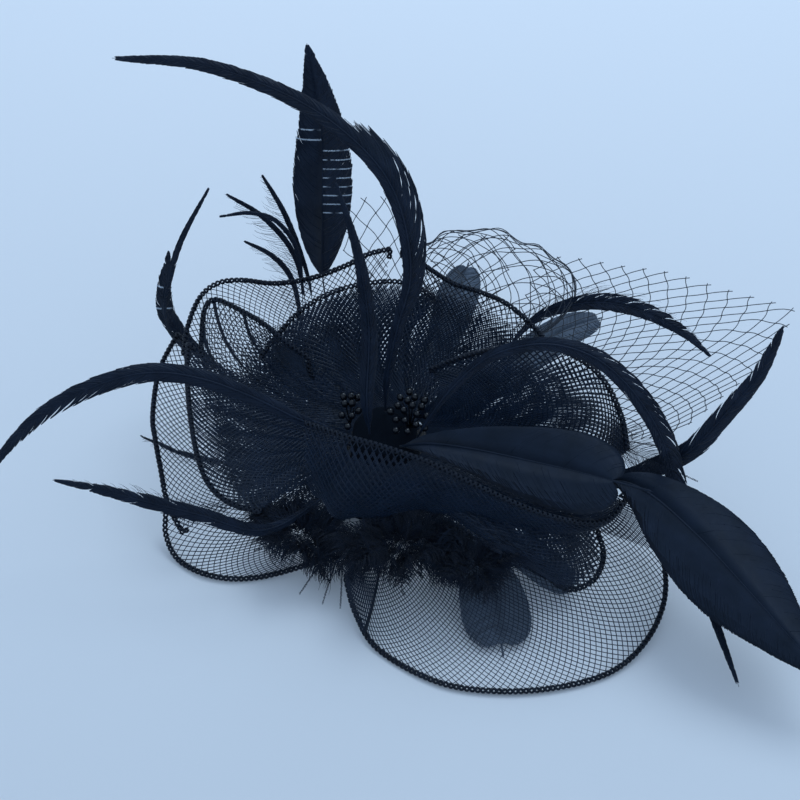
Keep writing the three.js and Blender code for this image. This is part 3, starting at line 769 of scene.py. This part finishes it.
def vane(mesh, blade, side, half, bare=0.02, widest=0.45, fullness=0.5, spacing=0.4, sweep=2.6,
         clump=0.25, clump_size=(3, 16), fringe=None, camber=0.15, barb=0.3, ragged=0.05,
         bends=6, lay=0.03):
    """The barbs on one side of a quill, from the share `bare` of its length to the tip.

    Their tips follow the vane's outline and gather in clumps. `fringe` is the stretch where they
    part into fingers, and how much longer they are there."""
    count = int(blade.length * (1 - bare) / spacing)
    start = bare + (1 - bare) * np.linspace(0, 0.99, count)
    tip = np.minimum(start + 0.8 * sweep * half_width(start, half, bare, widest, fullness)
                     / blade.length, 1)
    width = half_width(tip, half, bare, widest, fullness) + 0.3
    width = width * (1 + ragged * RNG.standard_normal(count))
    pull = clump * clumps(start * blade.length, *clump_size)
    if fringe is not None:
        low, high, extra = fringe
        rise = np.sin(math.pi * np.clip((start - low) / (high - low), 0, 1)) ** 0.7
        width = width * (1 + extra * rise)
        pull = pull + rise * clumps(start * blade.length, 4.0, 9.0, 0.6)
    s = np.linspace(0, 1, bends)
    ahead = sweep * width[:, None] * s**1.2 + pull[:, None] * s**1.5
    room = np.maximum(0.998 - start, 0.004)[:, None] * blade.length
    ahead = room * (1 - np.exp(-np.maximum(ahead, 0) / room))
    across = side * width[:, None] * np.sin(s * math.pi / 2) ** 0.9
    level = lay * RNG.standard_normal((count, 1))
    droop = -camber * width[:, None] * s**2 + level * (1 + 2 * s)
    barbs, normal = blade.at(start[:, None] + ahead / blade.length, across, droop)
    wide = barb * (1 - 0.62 * s**1.5)
    place = 0.5 * np.minimum(start[:, None] + ahead / blade.length, 1) + (0.5 if side > 0 else 0)
    mesh.tubes(barbs, wide[None], 0.3 * wide[None], normal, 3, place)


def quill(mesh, blade, thick):
    share = np.linspace(0, 1, int(blade.length / 3) + 5)
    line, normal = blade.at(share)
    radius = thick * (1 - 0.8 * share)
    mesh.tubes(line[None], radius[None], radius[None], normal[None], 6)


def add_tuft(mesh, foot, tip, spread):
    """A few stiff straight barbs fanned out to one side and the other of a short quill."""
    foot, tip = np.array(foot, float), np.array(tip, float)
    blade = Blade([foot, 0.5 * (foot + tip) + [0, 0, 0.5], tip], TO_FRONT)
    quill(mesh, blade, 0.2)
    for side in (-1, 1):
        vane(mesh, blade, side, spread, bare=0.0, widest=0.3, fullness=0.5, spacing=0.5, sweep=2.2,
             clump=0.0, barb=0.13, ragged=0.15, bends=5, lay=0.3, camber=-0.1)


def make_feather(name, path, half, face=TO_FRONT, thick=0.5, material=FEATHER,
                 slot="feather_black", fringe=None, fringe_side=1, fluff=None, tufts=(), **shape):
    """A quill with a vane of separate barbs on each side, `half` wide. `fluff` is the side and
    reach of finer barbs over them, and `face` is the way the vanes look."""
    mesh = Builder()
    blade = Blade(path, face)
    quill(mesh, blade, thick)
    for side in (-1, 1):
        fringed = fringe if side == fringe_side else None
        vane(mesh, blade, side, half, fringe=fringed, **shape)
    if fluff is not None:
        side, reach = fluff
        vane(mesh, blade, side, reach, bare=shape.get("bare", 0.02), widest=0.4, fullness=0.8,
             spacing=0.9, sweep=1.7, clump=0.7, barb=0.1, ragged=0.25, lay=0.3, bends=7)
    for tuft in tufts:
        add_tuft(mesh, *tuft)
    feather = mesh.object(name + "_barbs", material)
    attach(feather, "headpiece")
    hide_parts(name)


HACKLE = dict(bare=0.15, widest=0.5, fullness=0.8, clump=0.5)
WISP = dict(half=0.8, bare=0.55, widest=0.5, fullness=0.7, fluff=(1, 6), thick=0.35, sweep=4)
ROUND_TIP = dict(half=13, bare=0.2, widest=0.72, fullness=0.4, face=UP, sweep=0.75, clump=0,
                 ragged=0.01, barb=0.42, camber=0.05, spacing=0.34, material=ROUND)

FEATHERS = {
    "feather_tall_arc": dict(
        half=2.7, widest=0.5, fullness=0.55, fringe=(0.2, 0.52, 1.5), fringe_side=-1, sweep=4,
        path=[
            (0, 8, 39), (1, 8, 58), (5, 8, 85), (10, 9, 113), (5, 15, 142), (-8, 27, 156),
            (-31, 42, 165), (-65, 60, 167), (-101, 75, 160),
        ],
    ),
    "feather_spike": dict(
        half=2.7, widest=0.3, fullness=0.9, sweep=4,
        path=[
            (-6, -4, 39), (-7, 2, 54), (-6, 18, 75), (-9, 27, 100), (-14, 35, 118),
            (-18, 42, 128),
        ],
    ),
    "feather_barred": dict(
        half=11.5, bare=0.42, widest=0.4, fullness=0.75, face=(0, -1, 0.1), sweep=1.7,
        clump=0.2, clump_size=(6, 24), ragged=0.02, barb=0.4, spacing=0.34, lay=0.02,
        material=TALL_BARRED, slot="feather_barred",
        path=[
            (-4, 15.6, 19), (-13, 40, 22), (-21, 62, 28), (-27, 77, 45), (-26, 80, 85),
            (-25, 82, 115), (-26, 84, 136), (-29.5, 91, 156),
        ],
    ),
    "feather_wisp_high": dict(
        WISP,
        path=[
            (-6.6, 14.4, 19), (-20, 42, 22), (-30, 67, 30), (-34, 80, 48), (-42, 87, 74),
            (-51, 90, 94),
        ],
    ),
    "feather_wisp_long": dict(
        WISP,
        path=[
            (-8.6, 13.2, 19), (-24, 42, 22), (-33, 66, 32), (-39, 82, 56), (-51, 86, 74),
            (-66, 86, 87),
        ],
    ),
    "feather_wisp_middle": dict(
        WISP, half=0.6, fluff=None,
        path=[
            (-10.4, 11.8, 19), (-28, 40, 22), (-35, 64, 32), (-37, 78, 60), (-45, 81, 76),
            (-56, 81, 81), (-69, 80, 80),
        ],
    ),
    "feather_wisp_low": dict(
        WISP,
        path=[
            (-12, 10.2, 19), (-30, 36, 22), (-36, 62, 32), (-40, 76, 47), (-48, 81, 57),
            (-60, 82, 65),
        ],
    ),
    "feather_left_arc": dict(
        half=3.0, widest=0.5, fullness=0.75, fringe=(0.45, 0.9, 0.15), sweep=4,
        path=[
            (-9, -8, 39), (-18, -11, 47), (-32, -12, 56), (-50, -11, 68), (-69, -9, 76),
            (-87, -10, 80), (-105, -14, 78), (-124, -20, 71), (-138, -28, 62), (-150, -40, 51),
        ],
    ),
    "feather_left_low": dict(
        HACKLE, half=2.5, sweep=3.4, fluff=(-1, 4),
        path=[
            (-13.2, -9.4, 24.3), (-28, -27, 23), (-47, -42, 26), (-70, -43, 37), (-88, -42, 43),
            (-106, -40, 48), (-124, -37, 50),
        ],
    ),
    "feather_left_biot": dict(
        HACKLE, half=0.9, bare=0.5, sweep=4,
        path=[
            (-14.2, 7.4, 19), (-50, 30, 18), (-78, 49, 23), (-90, 53, 36), (-92, 52, 52),
            (-89, 53, 66), (-82, 57, 86), (-69, 64, 108),
        ],
    ),
    "feather_left_ragged": dict(
        HACKLE, half=3.2, bare=0.5, material=LEFT_BARRED, slot="feather_barred",
        path=[
            (-13.2, 9, 18.4), (-46, 34, 17), (-76, 54, 21), (-90, 59, 36), (-93, 59, 52),
            (-88, 61, 78),
        ],
    ),
    "feather_left_tip": dict(
        HACKLE, half=1.2, face=UP, fluff=(1, 5),
        path=[(-15.8, -1, 18.4), (-30, -1, 17.6), (-58, 1, 14), (-80, 2, 19), (-99, 3, 30)],
    ),
    "feather_right_hackle": dict(
        HACKLE, half=2.5, bare=0.36, sweep=3, fringe=(0.45, 0.95, 0.4), fluff=(1, 5),
        path=[
            (11.8, 10.2, 24.4), (36, 30, 30), (52, 43, 42), (62, 49, 51), (74, 49, 58),
            (88, 44, 65), (104, 35, 68), (119, 26, 65), (129, 18, 60),
        ],
    ),
    "feather_right_arc": dict(
        half=2.5, widest=0.5, fullness=0.7, fringe=(0.3, 0.75, 0.7), sweep=3.6,
        path=[
            (12, -8, 39), (17, -9, 53), (25, -7, 67), (39, -5, 83), (58, -5, 90), (76, -9, 88),
            (90, -17, 80), (103, -24, 62), (112, -31, 38), (121, -68, 20), (129, -102, 11),
        ],
    ),
    "feather_right_split": dict(
        half=3.5, bare=0.3, clump=0.5, sweep=3.6,
        path=[
            (15.8, -3, 22.6), (40, -8, 23), (66, -16, 26), (92, -23, 34), (105, -22, 40),
            (117, -22, 50), (128, -17, 64), (140, -9, 78), (148, 1, 94),
        ],
    ),
    "feather_goose": dict(
        half=18, bare=0.43, widest=0.44, fullness=0.8, face=(0.2, -0.5, 0.84), sweep=1.3,
        clump=0.03, clump_size=(8, 30), spacing=0.26, barb=0.5, ragged=0.008, thick=0.8,
        lay=0.01, material=GOOSE, slot="feather_goose",
        tufts=[((90, -18, 47), (118, -36, 48), 9), ((86, -13, 46), (108, -20, 49), 8)],
        path=[
            (15.2, -6, 22.6), (40, -17, 24), (64, -28, 28), (84, -31, 42), (98, -38, 45),
            (115, -56, 42), (132, -76, 35), (147, -94, 28), (160, -108, 22),
        ],
    ),
    "feather_satin": dict(
        half=15, widest=0.68, fullness=0.5, face=(0, -0.5, 0.87), sweep=1.5, clump=0.02,
        ragged=0.005, barb=0.5, spacing=0.26, lay=0.01, material=GOOSE, slot="feather_goose",
        path=[
            (6, -11, 39.5), (17, -17, 48), (33, -24, 53), (52, -31, 55), (75, -39, 56),
            (98.5, -47.5, 56),
        ],
    ),
    "feather_round_front": dict(
        ROUND_TIP,
        path=[(7, -14.4, 18.4), (21, -30, 18), (36, -46, 12), (42, -62, 7), (45, -84, 2.4)],
    ),
    "feather_round_side": dict(
        ROUND_TIP, half=8,
        path=[(12, -10.4, 18.4), (28, -24, 17.8), (50, -38, 12.5), (64, -48, 9), (74, -57, 6)],
    ),
    "feather_round_back": dict(
        ROUND_TIP, half=9,
        path=[(5, 15, 18.4), (16, 42, 20), (24, 62, 24), (32, 88, 30), (37, 104, 34)],
    ),
    "feather_round_right": dict(
        ROUND_TIP, half=9,
        path=[(13.4, 8.6, 18.4), (34, 26, 20), (56, 48, 25), (76, 62, 31), (94, 68, 34)],
    ),
}


# ------------------------------ down and stamens


def make_down(name, middle, radii, turn, plumes, reach, tufts=()):
    """Marabou: soft plumes whose long thin barbs curl out of a dense middle."""
    mesh = Builder()
    for tuft in tufts:
        add_tuft(mesh, *tuft)
    turn = math.radians(turn)
    spin = np.array([[math.cos(turn), -math.sin(turn), 0], [math.sin(turn), math.cos(turn), 0],
                     [0, 0, 1]])
    for i in range(plumes):
        angle = 2.4 * i
        share = math.sqrt((i + 0.5) / plumes)
        out = np.array([math.cos(angle), math.sin(angle), RNG.uniform(-0.2, 1.0)])
        foot = np.array(middle) + spin @ (out * radii * 0.7 * share)
        heading = spin @ unit(out * [1.3 * share, 1.3 * share, 0.7])
        length = RNG.uniform(0.6, 1.0) * reach
        bend = length * 0.25 * RNG.standard_normal(3)
        path = [foot, foot + 0.5 * length * heading + bend * 0.4,
                foot + length * heading + bend - [0, 0, 0.12 * length]]
        blade = Blade(path, unit(RNG.standard_normal(3) * [0.5, 0.5, 0.2] + [0, -0.5, 1]))
        quill(mesh, blade, 0.2)
        for side in (-1, 1):
            vane(mesh, blade, side, RNG.uniform(0.35, 0.55) * reach, bare=0.0, widest=0.35,
                 fullness=0.4, spacing=0.3, sweep=1.3, clump=0.9, clump_size=(0.6, 2.5),
                 barb=0.2, ragged=0.3, bends=5, lay=0.45, camber=0.35)
    for points in mesh.vertices:
        points[:, 2] = np.maximum(points[:, 2], 0.5)
    down = mesh.object(name + "_down", DOWN)
    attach(down, "headpiece")
    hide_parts(name)


def bead(builder, centre, axis, radius):
    """A slightly long bead."""
    rings, around = 9, 14
    axis = unit(np.asarray(axis, float))
    side = unit(np.cross(axis, [0.3, 0.9, 0.2]))
    other = np.cross(axis, side)
    polar = np.linspace(0.02, math.pi - 0.02, rings)[:, None, None]
    turn = np.linspace(0, 2 * math.pi, around, endpoint=False)[None, :, None]
    ring = side * np.cos(turn) + other * np.sin(turn)
    points = centre + radius * (1.15 * axis * np.cos(polar) + ring * np.sin(polar))
    index = np.arange(rings * around).reshape(rings, around)
    here, on = index[:-1], index[1:]
    walls = np.stack([np.roll(here, -1, 1), here, on, np.roll(on, -1, 1)], -1).reshape(-1, 4)
    caps = [index[0][None], index[-1][None, ::-1]]
    builder.add(points, [walls, *caps])


def make_stamens(name, foot, spread, count, turn):
    mesh = Builder()
    foot = np.array([*foot, 0.0])
    for i in range(count):
        angle = turn + i * 2.4
        reach = math.sqrt((i + 0.5) / count)
        tip = foot + [spread[0] * reach * math.cos(angle), spread[1] * reach * math.sin(angle), 0]
        tip[2] = 50 - 3.5 * reach
        start = foot + 0.1 * (tip - foot)
        start[2] = 39
        bend = 0.5 * (start + tip) + [0, 0, 1.5]
        stalk = Spline([start, bend, tip]).at(np.linspace(0, 1, 7))
        mesh.tubes(stalk[None], 0.22, 0.22, np.array([0.31, 0.52, 0.8]), 5)
        bead(mesh, tip, tip - bend, 1.45)
    stamens = mesh.object(name + "_beads", BEAD)
    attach(stamens, "headpiece")
    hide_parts(name)


# ------------------------------ camera and stage


CAMERA_TILT = 47  # degrees below level
CAMERA_DISTANCE = 0.56
FLOOR_HALF = 30.0  # from its middle to its edges


def add_camera():
    """The photograph's view, from in front and above."""
    elevation = math.radians(CAMERA_TILT)
    target = Vector((6, 4, 50 - LIFT)) * MM
    back = Vector((0, -math.cos(elevation), math.sin(elevation)))
    data = bpy.data.cameras.new("camera")
    data.lens = 64
    data.sensor_width = 36
    camera = bpy.data.objects.new("camera", data)
    bpy.context.scene.collection.objects.link(camera)
    camera.location = target + back * CAMERA_DISTANCE
    camera.rotation_euler = (math.pi / 2 - elevation, 0, 0)
    bpy.context.scene.camera = camera


def add_floor():
    """Pale paper with painted shade: darker towards the camera and lighter away from it, with faint
    soft blotches.
    """
    mesh = bpy.data.meshes.new("floor")
    corners = [(x * FLOOR_HALF, y * FLOOR_HALF, 0) for x, y in ((-1, -1), (1, -1), (1, 1), (-1, 1))]
    mesh.from_pydata(corners, [], [(0, 1, 2, 3)])
    floor = bpy.data.objects.new("floor", mesh)
    floor.location.z = -LIFT * MM
    bpy.context.scene.collection.objects.link(floor)
    material, tree, shader = new_material("floor_paper_painted_shade", (0.8, 0.81, 0.82), 0.7)
    place = tree.nodes.new("ShaderNodeTexCoord")
    split = tree.nodes.new("ShaderNodeSeparateXYZ")
    reach = tree.nodes.new("ShaderNodeMapRange")
    reach.inputs["From Min"].default_value = -0.35
    reach.inputs["From Max"].default_value = 0.45
    tree.links.new(place.outputs["Object"], split.inputs["Vector"])
    tree.links.new(split.outputs["Y"], reach.inputs["Value"])
    # painted shade: the paper darkens towards the camera, with faint soft blotches over it
    painted_falloff = tree.nodes.new("ShaderNodeMath")
    painted_falloff.operation = "MULTIPLY_ADD"
    painted_falloff.inputs[1].default_value = 0.08
    tree.links.new(noise(tree, 4, 2), painted_falloff.inputs[0])
    tree.links.new(reach.outputs["Result"], painted_falloff.inputs[2])
    vary_colour(tree, shader, painted_falloff.outputs[0], (0.66, 0.675, 0.69), (0.88, 0.88, 0.89), 0.0, 1.0)
    mesh.materials.append(material)


def add_light(name, place, target, size, power, colour):
    data = bpy.data.lights.new(name, "AREA")
    data.shape = "DISK"
    data.size = size
    data.energy = power
    data.color = colour
    light = bpy.data.objects.new(name, data)
    bpy.context.scene.collection.objects.link(light)
    light.location = place
    heading = Vector(target) - Vector(place)
    light.rotation_euler = heading.to_track_quat("-Z", "Y").to_euler()


def add_lighting():
    world = bpy.data.worlds.new("world")
    bpy.context.scene.world = world
    world.use_nodes = True
    background = world.node_tree.nodes["Background"]
    background.inputs["Color"].default_value = (0.58, 0.77, 1.03, 1)
    background.inputs["Strength"].default_value = 0.75
    add_light("window", (0.5, 1.6, 2.4), (0, 0.2, 0), 1.7, 28, (0.66, 0.83, 1.0))
    bpy.context.scene.view_settings.view_transform = "Standard"


# ------------------------------ assembly


def paint(node, material):
    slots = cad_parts[node].data.materials
    slots.clear()
    slots.append(material)


def paint_hardware():
    paint("felt_backing", FELT)
    paint("flower_core", FELT)
    paint("base_disc", BUCKRAM)
    for node in ("clip_upper_leaf", "clip_lower_jaw"):
        paint(node, SHEET_STEEL)
    for node in ("clip_hinge_pin", "clip_spring", "brooch_bar", "brooch_pivot", "brooch_needle",
                 "brooch_lock"):
        paint(node, WIRE_STEEL)


add_camera()
add_floor()
add_lighting()
paint_hardware()
for petal_name, petal in PETALS.items():
    make_petal(petal_name, **petal)
for veil_name, veil_shape in VEILS.items():
    make_veil(veil_name, **veil_shape)
for feather_name, feather_shape in FEATHERS.items():
    make_feather(feather_name, **feather_shape)
make_down("marabou_left", (-33, -37, 16.5), (17, 7, 4), -25, 60, 15,
          [((-18, -46, 15), (-24, -61, 4), 9), ((-22, -45, 15), (-33, -57, 5), 8),
           ((-16, -47, 15), (-17, -63, 4), 9)])
make_down("marabou_front", (6, -46, 22), (25, 10, 4), 0, 85, 15,
          [((-1, -59, 22), (-9, -50, 35), 8), ((7, -60, 20), (9, -52, 30), 6)])
make_down("marabou_right", (34, -56, 22), (15, 7, 3), 12, 60, 11)
make_stamens("stamens_left", (-14, 2), (4.6, 10), 9, 0.4)
make_stamens("stamens_right", (10, 0), (8.6, 12), 18, 0.9)
